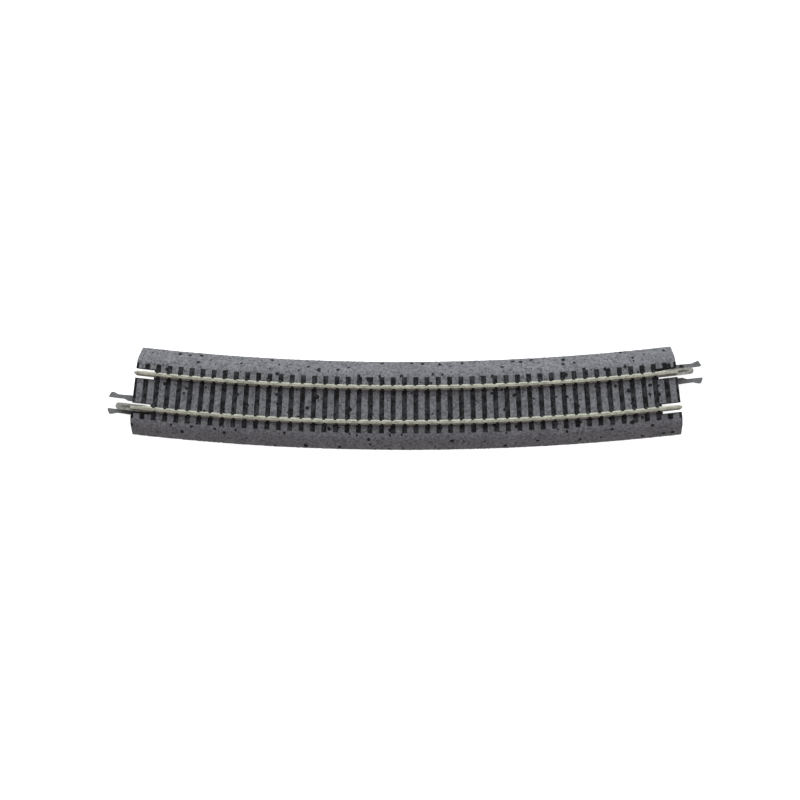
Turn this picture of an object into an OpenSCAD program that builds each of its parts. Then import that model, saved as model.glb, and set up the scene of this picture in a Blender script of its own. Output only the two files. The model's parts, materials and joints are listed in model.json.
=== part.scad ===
// Curved sectional model track: a hollow moulded ballast base, a moulded strip of sleepers, two drawn
// rails, and at each end one push-fit joiner made of a plastic clip, a metal rail joiner and two prongs.
//
// The origin is on the ground plane, below the middle of the centre line. +X runs along the track to the
// right-hand end, +Y points to the centre of the curve and +Z is up.
//
// At each end the joiner sits on the rail that is on the left when looking out of the section, and the
// other rail ends in an open socket, so any end of one section mates with any end of another. The clips
// and the guides of the sockets are set a little closer to the centre line than the rails.

/* [Curve] */
// Radius of the track's centre line
curve_r = 490; // [250:5:900]
// Angle that the section turns through, in degrees
curve_angle = 13; // [10:0.5:26]

/* [Base] */
// Width over the feet of both shoulders
bed_w = 18; // [17.6:0.2:22]
// Width of the flat top between the shoulders
bed_top_w = 12.9; // [12.5:0.1:13.4]
// Height of the ballast between the sleepers
bed_h = 3.65; // [3.5:0.05:4.2]
// Radius of the rounded ridge between the flat top and each shoulder
ridge_r = 2.5; // [0.5:0.1:3]
// Height of the upright skirt at the foot of each shoulder
skirt_h = 0.35; // [0.2:0.05:0.6]
// Thickness of the shoulder walls
wall_t = 0.9; // [0.7:0.05:1]
// Thickness of the top deck
deck_t = 1.2; // [1.1:0.05:1.25]
// Thickness of the wall that closes each end
end_wall_t = 1; // [0.8:0.1:1.4]
// Number of sleeper pitches from one stiffening rib to the next
rib_every = 6; // [4:1:9]
// Radius of the blind track-nail hole under the middle of the base
nail_r = 0.6; // [0.4:0.05:0.8]
// Depth of the track-nail hole
nail_depth = 2.5; // [1.5:0.1:2.6]

/* [Sleepers] */
// Wanted spacing of the sleepers, which is rounded to fit the section
tie_pitch = 2.32; // [2.1:0.02:2.8]
// Size of a sleeper along the track
tie_w = 1; // [0.8:0.05:1.2]
// Size of a sleeper across the track
tie_len = 11.4; // [11:0.05:12]
// Thickness of a sleeper
tie_t = 0.8; // [0.65:0.05:0.85]
// Height of the sleeper tops above the ballast
tie_rise = 0.15; // [0.05:0.05:0.3]
// Length of a rail chair along the track
chair_len = 0.5; // [0.3:0.05:0.6]
// Distance that the two chairs of one rail are staggered either way
chair_stagger = 0.13; // [0:0.01:0.15]

/* [Rails] */
// Gauge, between the inner faces of the rail heads
gauge = 6.5; // [6.4:0.05:6.6]
// Height of a rail
rail_h = 1.4; // [1.2:0.05:1.6]
// Width of the rail head
head_w = 0.6; // [0.5:0.05:0.7]
// Width of the rail foot
foot_w = 1.05; // [0.95:0.05:1.1]

/* [Joints] */
// Length of the open notch round the end of each rail
notch_len = 3.67; // [3.6:0.01:3.8]
// Width of the open notch round the end of each rail
notch_w = 1.9; // [1.8:0.05:2]
// Length of a metal rail joiner
joiner_len = 6.7; // [6:0.1:7]
// Thickness of the sheet that a rail joiner is bent from
sheet_t = 0.14; // [0.1:0.01:0.16]
// Distance that the clips and sockets are set from the rails towards the centre line
clip_shift = 0.45; // [0:0.05:0.5]
// Reach of the prongs beyond the end of the base
prong_reach = 5.3; // [4.8:0.1:5.6]
// Distance that a barb stands out from its prong
barb_h = 0.37; // [0.3:0.01:0.45]

/* [Hidden] */
$fn = 48;

bed_grey = [0.42, 0.42, 0.43];
sleeper_black = [0.13, 0.125, 0.135];
nickel_silver = [0.72, 0.71, 0.63];
clip_grey = [0.46, 0.47, 0.47];

// the curve
sweep_fn = 1440;
half_angle = curve_angle / 2;
arc_len = curve_r * curve_angle * PI / 180;
pitches = 2 * round(arc_len / tie_pitch / 2);
pitch_angle = curve_angle / pitches;
past = 1;

// heights above the ground
tie_top = bed_h + tie_rise;
tie_bottom = tie_top - tie_t;
deck_z = bed_h - deck_t;

// the shoulders, with u measured outwards from the centre line
shoulder_run = (bed_w - bed_top_w) / 2 / (bed_h - skirt_h);
wall_run = wall_t * sqrt(1 + shoulder_run * shoulder_run);
ridge_turn = 90 - atan(shoulder_run);
ridge_u = bed_top_w / 2 - ridge_r * tan(ridge_turn / 2);
ridge_steps = 8;
rib_t = 0.8;
rib_z = 0.5;
weld = 0.2;
boss_r = 1.6;

// the sleeper strip
fit_gap = 0.02;
rail_u = (gauge + head_w) / 2;
stringer_w = 0.9;
stringer_z = tie_bottom + 0.1;
stringer_h = 0.35;
notch_web_w = 0.36;
notch_web_z = tie_bottom + 0.05;
first_whole_tie = ceil((notch_len + tie_w / 2) / (arc_len / pitches));
notch_web_len = first_whole_tie * arc_len / pitches - tie_w / 4;

// the rails
foot_edge = 0.16;
foot_t = 0.3;
web_w = 0.3;
head_edge = 0.08;
head_t = 0.4;
head_round = 0.1;
rail_end_gap = 0.03;
tip_r = foot_w / 2 + 0.03;

// the joiners, with x measured outwards from the end face and v sideways from the middle of the clip
slide_gap = 0.05;
arm_in = 0.75;
arm_out = 2.0;
arm_z = 1.0;
window_top = deck_z - 0.1;
arm_top = window_top - slide_gap;
clip_back = 5.5;
bar_front = 4.0;
lip_top = arm_z - slide_gap;
guide_v = arm_out + slide_gap;
guide_t = 0.8;
guide_z = 0.4;
lip_w = 0.35;
tongue_w = 0.9;
tongue_foot_w = 0.6;
tongue_z = 1.6;
tongue_reach = 2.6;
tongue_back = notch_len - 0.07;
joiner_gap = 0.03;
joiner_z = tie_top - fit_gap - sheet_t;
joiner_w = foot_w + 2 * (joiner_gap + sheet_t);
lip_slit = 0.4;
lip_len = 4.2;
peg_r = 0.25;
peg_x = -1.5;

// the prongs
knuckle_r = (arm_out - arm_in) / 2;
knuckle_v = (arm_out + arm_in) / 2;
knuckle_x = 1.75 - knuckle_r;
knuckle_gap = 0.03;
cup_x = knuckle_x - knuckle_r * 0.5;
prong_in = 1.12;
prong_out = 1.93;
barb_x = prong_reach - 0.6;
barb_back = prong_reach - 1.75;
neck_x = 2.15;
socket_len = prong_reach - 1.5;

// Half-width of the base's outer surface at a height
function shoulder_u(z) = bed_w / 2 - (z - skirt_h) * shoulder_run;

// Points mirrored about the middle of a profile, so that an outline is given by its right half
function both_sides(half) = concat(half, [for (i = [len(half) - 1 : -1 : 0]) [-half[i][0], half[i][1]]]);

// Places a piece on the centre line at an angle along the curve, with +Y to the centre of the curve
module on_curve(angle) {
    translate([0, curve_r, 0]) rotate([0, 0, angle]) translate([0, -curve_r, 0]) children();
}

// Places a piece at an end face, with +X outwards, for turn 1 at the right and -1 at the left
module at_end(turn) {
    on_curve(turn * half_angle) rotate([0, 0, turn > 0 ? 0 : 180]) children();
}

// As at_end, with y = 0 on the rail that carries the joiner
module at_joiner(turn) {
    at_end(turn) translate([0, rail_u, 0]) children();
}

// As at_end, with y = 0 on the middle of the clip
module at_clip(turn) {
    at_end(turn) translate([0, rail_u - clip_shift, 0]) children();
}

// As at_end, with y = 0 on the middle of the socket
module at_socket(turn) {
    at_end(turn) translate([0, clip_shift - rail_u, 0]) children();
}

// Sweeps a profile, drawn as distance out from the centre line and height, along the curve
module sweep(from_angle, to_angle) {
    translate([0, curve_r, 0]) rotate([0, 0, from_angle - 90])
        rotate_extrude(angle = to_angle - from_angle, $fn = sweep_fn)
            translate([curve_r, 0]) children();
}

// A slab between two corners
module slab(low, high) {
    translate(low) cube(high - low);
}

// Stands a profile of sideways distance and height across the track
module across(thickness) {
    rotate([90, 0, 90]) linear_extrude(height = thickness, center = true) children();
}

// A slot that is open at the end face, round the end of each rail
module rail_slots(length, width, from_z) {
    for (turn = [-1, 1], side = [-1, 1])
        at_end(turn) translate([0, side * rail_u, 0])
            slab([-length, -width / 2, from_z], [past, width / 2, tie_top + past]);
}

// ---- base ----

module bed_outline() {
    ridge = [for (i = [0 : ridge_steps])
        let (a = 90 - ridge_turn * (1 - i / ridge_steps))
            [ridge_u + ridge_r * cos(a), bed_h - ridge_r + ridge_r * sin(a)]];
    polygon(both_sides(concat([[bed_w / 2, 0], [bed_w / 2, skirt_h]], ridge)));
}

module hollow_outline() {
    polygon(both_sides([[bed_w / 2 - wall_t, -past], [bed_w / 2 - wall_t, 0],
        [shoulder_u(skirt_h) - wall_run, skirt_h], [shoulder_u(deck_z) - wall_run, deck_z]]));
}

module rib() {
    top = deck_z + weld;
    low_u = shoulder_u(rib_z) - wall_run / 2;
    top_u = shoulder_u(top) - wall_run / 2;
    across(rib_t) polygon(both_sides([[low_u, rib_z], [top_u, top]]));
}

// Two walls that a clip or a mating pair of prongs slides between
module guides(length) {
    for (side = [-1, 1])
        translate([0, side * (guide_v + guide_t / 2), 0])
            slab([-length, -guide_t / 2, guide_z], [-end_wall_t / 2, guide_t / 2, deck_z + weld]);
}

// The lips that carry the clip's arms, and the stop behind its cross-bar
module clip_seat() {
    guides(clip_back + slide_gap);
    for (side = [-1, 1])
        translate([0, side * (guide_v - lip_w / 2 + weld / 2), 0])
            slab([-clip_back - slide_gap, -(lip_w + weld) / 2, guide_z],
                [-end_wall_t / 2, (lip_w + weld) / 2, lip_top]);
    slab([-clip_back - slide_gap - guide_t, -guide_v - guide_t, guide_z],
        [-clip_back - slide_gap, guide_v + guide_t, deck_z + weld]);
}

module bed_shell() {
    end_wall_angle = end_wall_t / curve_r * 180 / PI;
    difference() {
        sweep(-half_angle, half_angle) bed_outline();
        sweep(-half_angle + end_wall_angle, half_angle - end_wall_angle) hollow_outline();
    }
}

module bed_stiffeners() {
    rib_count = floor((pitches / 2 - 4) / rib_every);
    rib_angle = rib_every * pitch_angle;
    for (i = [-rib_count : rib_count])
        if (i != 0)
            on_curve(i * rib_angle) rib();
    sweep(-rib_count * rib_angle, rib_count * rib_angle)
        translate([-rib_t / 2, rib_z]) square([rib_t, deck_z + weld - rib_z]);
    cylinder(r = boss_r, h = deck_z + weld);
}

module sleeper_pockets() {
    for (i = [0 : pitches])
        on_curve(-half_angle + i * pitch_angle)
            slab([-tie_w / 2 - fit_gap, -tie_len / 2 - fit_gap, tie_bottom],
                [tie_w / 2 + fit_gap, tie_len / 2 + fit_gap, tie_top + past]);
}

module stringer_grooves() {
    for (side = [-1, 1])
        sweep(-half_angle, half_angle)
            translate([side * rail_u - stringer_w / 2 - fit_gap, stringer_z])
                square([stringer_w + 2 * fit_gap, tie_t + past]);
}

module end_windows() {
    for (turn = [-1, 1], side = [-1, 1])
        at_end(turn) translate([0, side * (rail_u - clip_shift), 0])
            slab([-end_wall_t - slide_gap, -guide_v, -past], [past, guide_v, window_top]);
}

module bed_blank() {
    bed_shell();
    bed_stiffeners();
    for (turn = [-1, 1]) {
        at_clip(turn) clip_seat();
        at_socket(turn) guides(socket_len);
    }
}

module pocketed_bed() {
    difference() {
        difference() {
            bed_blank();
            sleeper_pockets();
        }
        stringer_grooves();
    }
}

module roadbed() {
    color(bed_grey)
        difference() {
            difference() {
                pocketed_bed();
                rail_slots(notch_web_len, notch_w + 2 * (notch_web_w + fit_gap), notch_web_z);
            }
            rail_slots(notch_len, notch_w, tongue_z);
            end_windows();
            translate([0, 0, -past]) cylinder(r = nail_r, h = nail_depth + past);
        }
}

// ---- sleepers ----

// One rail chair: a block beside the rail with a lip over the edge of the foot
module chair() {
    side = foot_w / 2 + fit_gap;
    across(chair_len)
        polygon([[side, -weld / 2], [side, 0.18], [0.27, 0.285], [0.27, 0.4], [0.45, 0.5], [0.8, 0.42],
            [1, -weld / 2]]);
}

module chairs() {
    for (rail = [-1, 1], side = [-1, 1])
        translate([-side * chair_stagger, rail * rail_u, tie_top])
            mirror([0, side > 0 ? 0 : 1, 0]) chair();
}

// The webs that tie the cut sleepers to the first whole one, on both sides of a notch
module notch_webs() {
    for (turn = [-1, 1], rail = [-1, 1], side = [-1, 1])
        at_end(turn) translate([0, rail * rail_u + side * (notch_w + notch_web_w) / 2, 0])
            slab([-notch_web_len, -notch_web_w / 2, notch_web_z],
                [past, notch_web_w / 2, bed_h - 2 * fit_gap]);
}

module sleeper_strip() {
    color(sleeper_black)
        difference() {
            union() {
                for (i = [0 : pitches])
                    on_curve(-half_angle + i * pitch_angle) {
                        slab([-tie_w / 2, -tie_len / 2, tie_bottom], [tie_w / 2, tie_len / 2, tie_top]);
                        if (i >= first_whole_tie && i <= pitches - first_whole_tie)
                            chairs();
                    }
                for (side = [-1, 1])
                    sweep(-half_angle, half_angle)
                        translate([side * rail_u - stringer_w / 2, stringer_z])
                            square([stringer_w, stringer_h]);
                notch_webs();
            }
            rail_slots(notch_len, notch_w, tie_bottom - past);
            for (turn = [-1, 1])
                at_end(turn) slab([0, -bed_w, 0], [2 * past, bed_w, tie_top + past]);
        }
}

// ---- rails ----

module rail_outline() {
    corner = head_w / 2 - head_round;
    round_steps = 6;
    polygon(both_sides(concat(
        [[foot_w / 2, 0], [foot_w / 2, foot_edge], [web_w / 2, foot_t],
            [web_w / 2, rail_h - head_t - head_edge], [head_w / 2, rail_h - head_t]],
        [for (i = [0 : round_steps])
            [corner + head_round * cos(90 * i / round_steps),
                rail_h - head_round + head_round * sin(90 * i / round_steps)]])));
}

// A rail on one side of the centre line, with the plan of both tips rounded
module rail(side) {
    tip_x = -rail_end_gap - tip_r;
    difference() {
        sweep(-half_angle, half_angle) translate([side * rail_u, tie_top]) rail_outline();
        for (turn = [-1, 1])
            at_end(turn) translate([0, -turn * side * rail_u, tie_top - past])
                linear_extrude(height = rail_h + 2 * past)
                    difference() {
                        translate([tip_x, -1]) square([2, 2]);
                        translate([tip_x, 0]) circle(r = tip_r);
                    }
    }
}

module inner_rail() {
    color(nickel_silver) rail(-1);
}

module outer_rail() {
    color(nickel_silver) rail(1);
}

// ---- joiners ----

module prong_cup(side) {
    translate([knuckle_x, side * knuckle_v, 0]) cylinder(r = knuckle_r + knuckle_gap, h = arm_top + past);
}

// The cross-bar and two arms of a clip
module clip_arms() {
    slab([-clip_back, -arm_out, arm_z], [-bar_front, arm_out, arm_top]);
    for (side = [-1, 1])
        difference() {
            translate([0, side * knuckle_v, 0])
                slab([-clip_back, -knuckle_r, arm_z], [cup_x, knuckle_r, arm_top]);
            prong_cup(side);
        }
}

// The tongue of a clip, which holds up the metal joiner. Its foot passes beside the nearer prong.
module clip_tongue() {
    slab([-bar_front - weld, -tongue_foot_w, tongue_z], [-tongue_back + weld, 0, arm_top]);
    slab([-tongue_back, -tongue_foot_w, tongue_z], [tongue_reach, 0, joiner_z]);
    slab([-tongue_back, -weld, window_top], [tongue_reach, tongue_w / 2, joiner_z]);
    translate([peg_x, 0, joiner_z - weld]) cylinder(r = peg_r, h = sheet_t + weld);
}

module clip(turn) {
    color(clip_grey)
        union() {
            at_clip(turn) clip_arms();
            at_joiner(turn) clip_tongue();
        }
}

module joiner_outline() {
    side = joiner_w / 2;
    top = foot_t + joiner_gap + sheet_t + fit_gap;
    polygon(both_sides([[side, 0], [side, top + sheet_t], [lip_slit / 2, top + sheet_t],
        [lip_slit / 2, top], [side - sheet_t, top], [side - sheet_t, sheet_t]]));
}

// The metal rail joiner: a flat tongue with rounded ends, and lips folded over the rail foot
module rail_joiner() {
    color(nickel_silver)
        difference() {
            union() {
                translate([0, 0, joiner_z]) across(lip_len) joiner_outline();
                translate([0, 0, joiner_z])
                    linear_extrude(height = sheet_t) {
                        square([joiner_len - joiner_w, joiner_w], center = true);
                        for (end = [-1, 1])
                            translate([end * (joiner_len - joiner_w) / 2, 0]) circle(r = joiner_w / 2);
                    }
            }
            translate([peg_x, 0, joiner_z - past]) cylinder(r = peg_r + fit_gap, h = sheet_t + 2 * past);
        }
}

// A prong on one side of the rail: a round root, a springy blade and a barb at the tip
module prong(side) {
    color(clip_grey)
        mirror([0, side > 0 ? 0 : 1, 0])
            translate([0, 0, arm_z]) {
                translate([knuckle_x, knuckle_v, 0]) cylinder(r = knuckle_r, h = arm_top - arm_z);
                linear_extrude(height = arm_top - arm_z)
                    polygon([[knuckle_x, knuckle_v],
                        [knuckle_x + knuckle_r * 0.6, knuckle_v - knuckle_r * 0.8],
                        [neck_x, prong_in], [prong_reach - 0.1, prong_in], [prong_reach, prong_in + 0.12],
                        [prong_reach, prong_in + 0.35], [barb_x + 0.15, prong_out + barb_h],
                        [barb_x - 0.1, prong_out + barb_h], [barb_back, prong_out],
                        [knuckle_x, knuckle_v + knuckle_r * 0.95]]);
            }
}

module left_clip() { clip(-1); }

module left_rail_joiner() { at_joiner(-1) rail_joiner(); }

module left_rear_prong() { at_clip(-1) prong(-1); }

module left_front_prong() { at_clip(-1) prong(1); }

module right_clip() { clip(1); }

module right_rail_joiner() { at_joiner(1) rail_joiner(); }

module right_rear_prong() { at_clip(1) prong(1); }

module right_front_prong() { at_clip(1) prong(-1); }

roadbed();
sleeper_strip();
inner_rail();
outer_rail();
left_clip();
left_rail_joiner();
left_rear_prong();
left_front_prong();
right_clip();
right_rail_joiner();
right_rear_prong();
right_front_prong();
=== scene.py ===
"""The looks of a curved model track section: grainy moulded ballast, black sleepers, drawn
nickel-silver rails, and a push-fit joiner at each end. Lengths are in metres, in the part's own frame."""

import json
import math

import bpy
import numpy as np
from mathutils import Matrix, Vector

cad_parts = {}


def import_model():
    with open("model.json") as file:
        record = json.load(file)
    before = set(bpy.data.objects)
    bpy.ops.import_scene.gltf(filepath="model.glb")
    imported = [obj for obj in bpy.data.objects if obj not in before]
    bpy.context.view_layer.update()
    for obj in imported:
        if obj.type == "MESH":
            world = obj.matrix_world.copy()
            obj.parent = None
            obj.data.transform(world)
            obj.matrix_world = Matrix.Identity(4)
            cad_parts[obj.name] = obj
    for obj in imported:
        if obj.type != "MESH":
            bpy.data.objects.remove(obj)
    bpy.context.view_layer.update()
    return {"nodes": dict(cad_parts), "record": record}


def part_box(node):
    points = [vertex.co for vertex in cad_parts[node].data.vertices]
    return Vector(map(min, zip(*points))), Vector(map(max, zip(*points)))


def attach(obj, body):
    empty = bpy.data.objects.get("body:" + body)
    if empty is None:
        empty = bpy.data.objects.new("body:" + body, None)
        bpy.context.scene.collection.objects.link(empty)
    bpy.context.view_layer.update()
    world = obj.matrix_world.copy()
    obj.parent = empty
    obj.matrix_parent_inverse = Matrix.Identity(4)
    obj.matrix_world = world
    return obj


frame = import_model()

MM = 0.001

# ---- the curve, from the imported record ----

MOUNTS = {m["name"]: m for m in frame["record"]["mounts"]}
END_POS = MOUNTS["right_end_face"]["pos_m"]
END_AXIS = MOUNTS["right_end_face"]["axis"]
HALF_ANGLE = math.atan2(END_AXIS[1], END_AXIS[0])
CURVE_R = END_POS[0] / math.sin(HALF_ANGLE)
HALF_LEN = CURVE_R * HALF_ANGLE
RAIL_POS = MOUNTS["right_joiner"]["pos_m"]
RAIL_U = CURVE_R - math.hypot(RAIL_POS[0], RAIL_POS[1] - CURVE_R)
BED_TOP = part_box("roadbed")[1].z


def on_track(s, u, z):
    """Points at s along the centre line, u out from it (away from the curve's centre) and z up."""
    s, u, z = np.broadcast_arrays(s, u, z)
    angle = s / CURVE_R
    radius = CURVE_R + u
    return np.stack([radius * np.sin(angle), CURVE_R - radius * np.cos(angle), z], axis=-1)


# ---- meshes ----


def new_mesh(name, points, faces, material, smooth=True):
    """A linked object with a mesh of its own and one material."""
    mesh = bpy.data.meshes.new(name)
    mesh.from_pydata(points.tolist(), [], faces)
    mesh.materials.append(material)
    mesh.polygons.foreach_set("use_smooth", [smooth] * len(mesh.polygons))
    mesh.validate()
    obj = bpy.data.objects.new(name, mesh)
    bpy.context.scene.collection.objects.link(obj)
    return obj


def closed_sheet(name, outer, inner, keep, spots, material):
    """A closed sheet between two grids of points. keep says which cells of the grid are there, and
    spots holds the place of each grid point along and across the sheet, in millimetres, for the
    material's flecks."""
    rows, cols = keep.shape
    index = np.arange((rows + 1) * (cols + 1)).reshape(rows + 1, cols + 1)
    corners = np.stack([index[:-1, :-1], index[:-1, 1:], index[1:, 1:], index[1:, :-1]], axis=-1)[keep]
    back = corners[:, ::-1] + index.size
    starts = corners.ravel()
    ends = np.roll(corners, -1, axis=1).ravel()
    edges = set(zip(starts.tolist(), ends.tolist()))
    rim = [(b, a, a + index.size, b + index.size) for a, b in edges if (b, a) not in edges]
    points = np.concatenate([outer.reshape(-1, 3), inner.reshape(-1, 3)])
    faces = corners.tolist() + back.tolist() + sorted(rim)
    used = np.unique(np.array(faces).ravel())
    renumber = np.full(len(points), -1)
    renumber[used] = np.arange(len(used))
    obj = new_mesh(name, points[used], renumber[np.array(faces)].tolist(), material)
    flat = np.concatenate([spots.reshape(-1, 3), spots.reshape(-1, 3)])[used]
    obj.data.attributes.new("spot", "FLOAT_VECTOR", "POINT").data.foreach_set("vector", flat.ravel())
    return obj


def soften_edges(obj, width, segments=2):
    """Rounds the sharp edges of a CAD node with modifiers, so its mesh stays as it is."""
    weld = obj.modifiers.new("weld", "WELD")
    weld.merge_threshold = 0.0005 * MM
    bevel = obj.modifiers.new("bevel", "BEVEL")
    bevel.width = width
    bevel.segments = segments
    bevel.limit_method = "ANGLE"
    bevel.angle_limit = math.radians(35)
    bevel.harden_normals = False
    bevel.use_clamp_overlap = True


def resample(corners, step):
    """Points at an even step along a polyline."""
    corners = np.array(corners, float)
    along = np.concatenate([[0], np.cumsum(np.hypot(*np.diff(corners, axis=0).T))])
    count = int(round(along[-1] / step))
    places = np.linspace(0, along[-1], count + 1)
    return np.stack([np.interp(places, along, corners[:, i]) for i in (0, 1)], axis=-1)


# ---- materials ----

BALLAST_TINT = (1.0, 0.99, 1.045)
CLIP_TINT = (1.0, 1.01, 1.01)
# Spacing in mm, share of the cells that hold a fleck, smallest and largest radius in mm
SMALL_FLECKS = (0.95, 0.32, 0.07, 0.16)
LARGE_FLECKS = (2.1, 0.37, 0.19, 0.47)


class Nodes:
    """A small helper for building a node material."""

    def __init__(self, name):
        self.material = bpy.data.materials.new(name)
        self.material.use_nodes = True
        self.tree = self.material.node_tree
        self.shader = self.tree.nodes["Principled BSDF"]

    def add(self, kind, **settings):
        node = self.tree.nodes.new(kind)
        inputs = settings.pop("inputs", {})
        for key, value in settings.items():
            setattr(node, key, value)
        for key, value in inputs.items():
            self.set(node.inputs[key], value)
        return node

    def set(self, socket, value):
        if isinstance(value, bpy.types.NodeSocket):
            self.tree.links.new(value, socket)
        else:
            socket.default_value = value

    def math(self, operation, a, b=0.0, clamp=False):
        node = self.add("ShaderNodeMath", operation=operation, use_clamp=clamp)
        self.set(node.inputs[0], a)
        self.set(node.inputs[1], b)
        return node.outputs[0]

    def ramp(self, value, low, high, to_low=0.0, to_high=1.0):
        node = self.add("ShaderNodeMapRange", interpolation_type="SMOOTHSTEP")
        for place, item in enumerate((value, low, high, to_low, to_high)):
            self.set(node.inputs[place], item)
        return node.outputs[0]

    def mix(self, factor, a, b, blend="MIX"):
        node = self.add("ShaderNodeMix", data_type="RGBA", blend_type=blend)
        self.set(node.inputs[0], factor)
        self.set(node.inputs[6], a)
        self.set(node.inputs[7], b)
        return node.outputs[2]

    def noise(self, vector, size, detail=2.0, rough=0.5):
        """Noise whose features are about size across."""
        inputs = {"Vector": vector, "Scale": 1 / size, "Detail": detail, "Roughness": rough}
        return self.add("ShaderNodeTexNoise", inputs=inputs).outputs["Fac"]

    def place(self):
        return self.add("ShaderNodeTexCoord").outputs["Object"]

    def bump(self, height, distance, strength=1.0):
        inputs = {"Height": height, "Distance": distance, "Strength": strength}
        node = self.add("ShaderNodeBump", inputs=inputs)
        self.set(self.shader.inputs["Normal"], node.outputs[0])

    def finish(self, **inputs):
        for key, value in inputs.items():
            self.set(self.shader.inputs[key.replace("_", " ")], value)
        return self.material


def grey(level, tint=(1.0, 1.0, 1.0)):
    """A colour from an sRGB grey level of 0 to 255 and a tint."""
    linear = (level / 255 / 1.055 + 0.0521) ** 2.4
    return (linear * tint[0], linear * tint[1], linear * tint[2], 1.0)


def flecks(n, spot, spacing, share, small, large):
    """Mask of irregular flecks. A share of the cells, spacing apart, hold one each, with a radius
    from small to large. All in millimetres."""
    wobble_inputs = {"Vector": spot, "Scale": 1.6, "Detail": 3.0}
    wobble = n.add("ShaderNodeTexNoise", inputs=wobble_inputs).outputs["Color"]
    shifted = n.add("ShaderNodeVectorMath", operation="MULTIPLY_ADD")
    n.set(shifted.inputs[0], wobble)
    shifted.inputs[1].default_value = (0.9, 0.9, 0.0)
    n.set(shifted.inputs[2], spot)
    cells = n.add("ShaderNodeTexVoronoi", voronoi_dimensions="2D")
    n.set(cells.inputs["Vector"], shifted.outputs[0])
    cells.inputs["Scale"].default_value = 1 / spacing
    chance = n.add("ShaderNodeSeparateColor", inputs={"Color": cells.outputs["Color"]})
    picked = n.math("GREATER_THAN", chance.outputs[0], 1 - share)
    radius = n.math("MULTIPLY_ADD", chance.outputs[1], (large - small) / spacing)
    radius.node.inputs[2].default_value = small / spacing
    edge = n.math("SUBTRACT", radius, cells.outputs["Distance"])
    return n.math("MULTIPLY", picked, n.ramp(edge, -0.02, 0.02))


def ballast_material():
    """Sandy grey ballast, sprayed with dark flecks. It needs a mesh with a "spot" attribute."""
    n = Nodes("flecked_ballast")
    place = n.place()
    spot = n.add("ShaderNodeAttribute", attribute_name="spot").outputs["Vector"]
    sand = n.noise(place, 0.5 * MM, 4.0, 0.7)
    patch = n.noise(place, 1.6 * MM, 2.0, 0.6)
    cloud = n.noise(place, 6 * MM, 2.0, 0.5)
    base = n.mix(n.ramp(sand, 0.37, 0.63), grey(90, BALLAST_TINT), grey(144, BALLAST_TINT))
    base = n.mix(n.ramp(patch, 0.35, 0.7, 0.0, 0.4), base, grey(146, BALLAST_TINT))
    base = n.mix(n.ramp(cloud, 0.35, 0.7, 0.0, 0.3), base, grey(100, BALLAST_TINT))
    base = n.mix(flecks(n, spot, *SMALL_FLECKS), base, grey(56, (1, 1, 1.1)))
    base = n.mix(flecks(n, spot, *LARGE_FLECKS), base, grey(24, (1, 1, 1.15)))
    n.bump(n.noise(place, 0.1 * MM, 3.0, 0.6), 0.03 * MM, 0.8)
    return n.finish(Base_Color=base, Roughness=0.92)


def base_material():
    """The smoother grey plastic of the base, which shows underneath and at the ends."""
    n = Nodes("ballast_plastic")
    place = n.place()
    cloud = n.noise(place, 0.9 * MM, 3.0, 0.6)
    colour = n.mix(n.ramp(cloud, 0.3, 0.7), grey(108, BALLAST_TINT), grey(122, BALLAST_TINT))
    n.bump(n.noise(place, 0.15 * MM, 3.0, 0.6), 0.01 * MM, 0.5)
    return n.finish(Base_Color=colour, Roughness=0.8)


def sleeper_material():
    """Black plastic with greyish worn patches."""
    n = Nodes("sleeper_plastic")
    place = n.place()
    wear = n.noise(place, 1.1 * MM, 4.0, 0.65)
    colour = n.mix(n.ramp(wear, 0.4, 0.64), grey(4, (1, 0.98, 1.1)), grey(60, (1, 0.98, 1.06)))
    n.bump(n.noise(place, 0.15 * MM, 3.0, 0.6), 0.02 * MM, 0.6)
    return n.finish(Base_Color=colour, Roughness=0.75, Specular_IOR_Level=0.3)


def metal_material(name, low, high, warm):
    """Satin nickel silver, patchy between two grey levels."""
    n = Nodes(name)
    place = n.place()
    patch = n.noise(place, 0.8 * MM, 3.0, 0.7)
    colour = n.mix(n.ramp(patch, 0.35, 0.65), grey(low, warm), grey(high, warm))
    n.bump(n.noise(place, 0.1 * MM, 2.0, 0.5), 0.004 * MM, 0.5)
    rough = n.ramp(patch, 0.3, 0.7, 0.52, 0.64)
    return n.finish(Base_Color=colour, Metallic=1.0, Roughness=rough)


def stray_fleck(n, place):
    """Mask of the one dark fleck that landed on the root of the right rear prong."""
    out = Vector(END_AXIS)
    left = Vector((-out.y, out.x, 0))
    past_end = 1.29 * MM
    beside_rail = 0.95 * MM
    centre = Vector(RAIL_POS) + past_end * out + beside_rail * left
    centre.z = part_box("right_rear_prong")[1].z
    away = n.add("ShaderNodeVectorMath", operation="DISTANCE", inputs={0: place, 1: centre})
    wobble = n.math("MULTIPLY", n.noise(place, 0.5 * MM), 0.2 * MM)
    return n.ramp(n.math("ADD", away.outputs["Value"], wobble), 0.56 * MM, 0.62 * MM, 1.0, 0.0)


def clip_material():
    """Grey plastic of the clips and prongs, a little smoother than the base."""
    n = Nodes("clip_plastic")
    place = n.place()
    cloud = n.noise(place, 0.8 * MM, 3.0, 0.6)
    colour = n.mix(n.ramp(cloud, 0.3, 0.7), grey(108, CLIP_TINT), grey(128, CLIP_TINT))
    colour = n.mix(stray_fleck(n, place), colour, grey(6, (1, 1, 1.1)))
    n.bump(n.noise(place, 0.2 * MM, 2.0, 0.5), 0.01 * MM, 0.5)
    return n.finish(Base_Color=colour, Roughness=0.55)


BASE = base_material()
BALLAST = ballast_material()
SLEEPER = sleeper_material()
RAIL = metal_material("rail_metal", 158, 200, (1.0, 0.975, 0.8))
JOINER = metal_material("joiner_metal", 150, 190, (1.0, 0.98, 0.89))
CLIP = clip_material()

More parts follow.
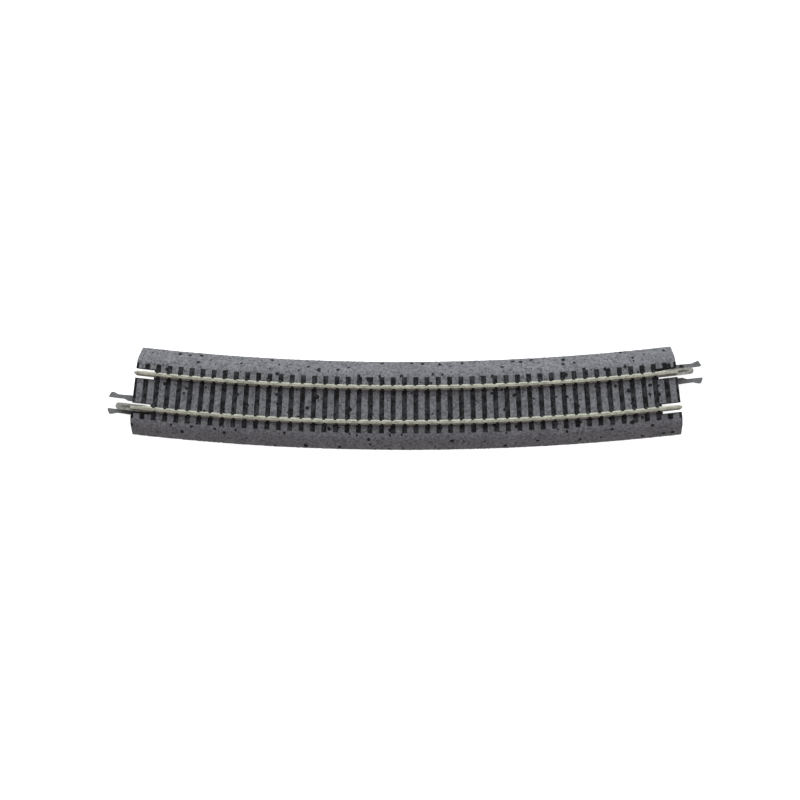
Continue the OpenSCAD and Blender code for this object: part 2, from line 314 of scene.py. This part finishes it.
NODE_MATERIALS = {
    "roadbed": BASE,
    "sleeper_strip": SLEEPER,
    "inner_rail": RAIL,
    "outer_rail": RAIL,
    "left_clip": CLIP,
    "left_rail_joiner": JOINER,
    "left_rear_prong": CLIP,
    "left_front_prong": CLIP,
    "right_clip": CLIP,
    "right_rail_joiner": JOINER,
    "right_rear_prong": CLIP,
    "right_front_prong": CLIP,
}
for node, material in NODE_MATERIALS.items():
    slots = frame["nodes"][node].data.materials
    slots.clear()
    slots.append(material)

EDGE_W = 0.03 * MM
PRONG_EDGE_W = 0.11 * MM

for node in ("left_clip", "right_clip", "left_rail_joiner", "right_rail_joiner", "sleeper_strip"):
    soften_edges(frame["nodes"][node], EDGE_W)
for node in ("left_rear_prong", "left_front_prong", "right_rear_prong", "right_front_prong"):
    soften_edges(frame["nodes"][node], PRONG_EDGE_W, 4)

# ---- ballast ----

GRAIN_STEP = 0.12 * MM
SKIN_LIFT = 0.015 * MM
SKIN_T = 0.2 * MM
SKIN_FOOT = 0.03 * MM
STONE_SIZE, STONE_H = 0.55 * MM, 0.085 * MM
CHIP_SIZE, CHIP_H = 0.3 * MM, 0.045 * MM
BED_TOP_HALF_W = 6.45 * MM
RIDGE_R = 2.5 * MM
SKIRT_H = 0.35 * MM
NOTCH_LEN = 4.38 * MM
NOTCH_HALF_W = 1.06 * MM


def stones(s, q, size, seed):
    """Heights from 0 to 1 of rounded stones about size apart, over a surface with coordinates s and q."""
    i, j = np.floor(s / size).astype(int), np.floor(q / size).astype(int)
    i0, j0 = i.min() - 1, j.min() - 1
    table = np.random.default_rng(seed).random((i.max() - i0 + 2, j.max() - j0 + 2, 3))
    height = np.zeros(s.shape)
    for di in (-1, 0, 1):
        for dj in (-1, 0, 1):
            spot = table[i + di - i0, j + dj - j0]
            away_s = s - (i + di + spot[..., 0]) * size
            away_q = q - (j + dj + spot[..., 1]) * size
            gap = np.hypot(away_s, away_q) / size
            cap = np.sqrt(np.maximum(0, 1 - (gap / 0.75) ** 2)) * (0.35 + 0.65 * spot[..., 2])
            height = np.maximum(height, cap)
    return height


def bed_outline():
    """The base's outline across the track, as u and z, from the inner foot to the outer foot."""
    half_w = (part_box("roadbed")[1].y - on_track(HALF_LEN, 0, 0)[1]) / math.cos(HALF_ANGLE)
    turn = math.atan2(BED_TOP - SKIRT_H, half_w - BED_TOP_HALF_W)
    ridge_u = BED_TOP_HALF_W - RIDGE_R * math.tan(turn / 2)
    ridge_z = BED_TOP - RIDGE_R
    angles = np.linspace(0, turn, 25)
    ridge = [(ridge_u + RIDGE_R * math.sin(a), ridge_z + RIDGE_R * math.cos(a)) for a in angles]
    right = ridge + [(half_w, SKIRT_H), (half_w, SKIN_FOOT)]
    return [(-u, z) for u, z in right[::-1]] + right


def ballast_skin():
    """The grainy surface of the base: a closed sheet over the flat top and both shoulders."""
    path = resample(bed_outline(), GRAIN_STEP)
    tangent = np.gradient(path, axis=0)
    for _ in range(3):
        tangent /= np.linalg.norm(tangent, axis=1)[:, None]
        tangent[1:-1] = (tangent[:-2] + 2 * tangent[1:-1] + tangent[2:]) / 4
    tangent /= np.linalg.norm(tangent, axis=1)[:, None]
    normal = np.stack([-tangent[:, 1], tangent[:, 0]], axis=-1)
    q = np.arange(len(path)) * GRAIN_STEP
    s = np.linspace(-HALF_LEN, HALF_LEN, int(round(2 * HALF_LEN / GRAIN_STEP)) + 1)
    ss, qq = np.meshgrid(s, q, indexing="ij")
    lift = SKIN_LIFT + STONE_H * stones(ss, qq, STONE_SIZE, 1) + CHIP_H * stones(ss, qq, CHIP_SIZE, 2)
    outer = on_track(ss, path[:, 0] + lift * normal[:, 0], path[:, 1] + lift * normal[:, 1])
    inner = on_track(ss, path[:, 0] - SKIN_T * normal[:, 0], path[:, 1] - SKIN_T * normal[:, 1])
    mid_s = (s[:-1] + s[1:]) / 2
    mid_u = (path[:-1, 0] + path[1:, 0]) / 2
    near_end = np.abs(mid_s) > HALF_LEN - NOTCH_LEN
    near_rail = np.abs(np.abs(mid_u) - RAIL_U) < NOTCH_HALF_W
    keep = ~(near_end[:, None] & near_rail[None, :])
    spots = np.stack([ss / MM, qq / MM, np.zeros_like(ss)], axis=-1)
    skin = closed_sheet("ballast_skin", outer, inner, keep, spots, BALLAST)
    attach(skin, "track")


ballast_skin()

# ---- stage ----


def floor():
    """A white floor that only a camera above it sees. All other light passes through it, so the
    underside of the track is lit."""
    n = Nodes("floor")
    n.finish(Base_Color=(0.8, 0.8, 0.8, 1), Roughness=1.0)
    n.finish(Emission_Color=(1, 1, 1, 1), Emission_Strength=0.82)
    seen = n.add("ShaderNodeLightPath").outputs["Is Camera Ray"]
    below = n.add("ShaderNodeNewGeometry").outputs["Backfacing"]
    solid = n.math("SUBTRACT", seen, below, clamp=True)
    clear = n.add("ShaderNodeBsdfTransparent").outputs[0]
    surface = n.add("ShaderNodeMixShader", inputs={0: solid, 1: clear, 2: n.shader.outputs[0]})
    n.set(n.tree.nodes["Material Output"].inputs["Surface"], surface.outputs[0])
    half = 2.0
    points = np.array([[-half, -half, 0], [half, -half, 0], [half, half, 0], [-half, half, 0]])
    plane = new_mesh("floor", points, [[0, 1, 2, 3]], n.material, smooth=False)


def soft_light(name, place, aim, size, power, colour):
    """A square area light at a place, turned to an aim."""
    lamp = bpy.data.lights.new(name, "AREA")
    lamp.color = colour
    lamp.shape = "SQUARE"
    lamp.size = size
    lamp.energy = power
    obj = bpy.data.objects.new(name, lamp)
    obj.location = place
    obj.rotation_euler = (Vector(aim) - Vector(place)).to_track_quat("-Z", "Y").to_euler()
    bpy.context.scene.collection.objects.link(obj)


def world(above, below, colour):
    """Even light, with one strength from above and one from below. The camera sees plain white."""
    w = bpy.data.worlds.new("studio")
    w.use_nodes = True
    tree = w.node_tree
    direction = tree.nodes.new("ShaderNodeTexCoord")
    height = tree.nodes.new("ShaderNodeSeparateXYZ")
    strength = tree.nodes.new("ShaderNodeMapRange")
    for place, value in enumerate((-0.1, 0.1, below, above), 1):
        strength.inputs[place].default_value = value
    light = tree.nodes["Background"]
    light.inputs["Color"].default_value = colour
    backdrop = tree.nodes.new("ShaderNodeBackground")
    backdrop.inputs["Color"].default_value = (0.95, 0.95, 0.95, 1)
    path = tree.nodes.new("ShaderNodeLightPath")
    seen = tree.nodes.new("ShaderNodeMixShader")
    tree.links.new(direction.outputs["Generated"], height.inputs[0])
    tree.links.new(height.outputs["Z"], strength.inputs[0])
    tree.links.new(strength.outputs[0], light.inputs["Strength"])
    tree.links.new(path.outputs["Is Camera Ray"], seen.inputs[0])
    tree.links.new(light.outputs[0], seen.inputs[1])
    tree.links.new(backdrop.outputs[0], seen.inputs[2])
    tree.links.new(seen.outputs[0], tree.nodes["World Output"].inputs["Surface"])
    bpy.context.scene.world = w


def camera():
    """Looks almost straight down from above, a little from the front."""
    lens = bpy.data.cameras.new("camera")
    lens.sensor_width = 36
    lens.lens = 55.56
    obj = bpy.data.objects.new("camera", lens)
    obj.location = (6.94 * MM, -8.44 * MM, 254.46 * MM)
    obj.rotation_euler = (0.0379, 0.0313, 0.0006)
    lens.clip_start = 0.01
    bpy.context.scene.collection.objects.link(obj)
    bpy.context.scene.camera = obj


floor()
world(0.3, 0.6, (1.05, 0.985, 1.02, 1))
soft_light("key", (0.05, 0.69, 0.58), (0, 0, 0), 1.2, 9.6, (0.91, 1.0, 1.03))
camera()
bpy.context.scene.view_settings.view_transform = "Standard"
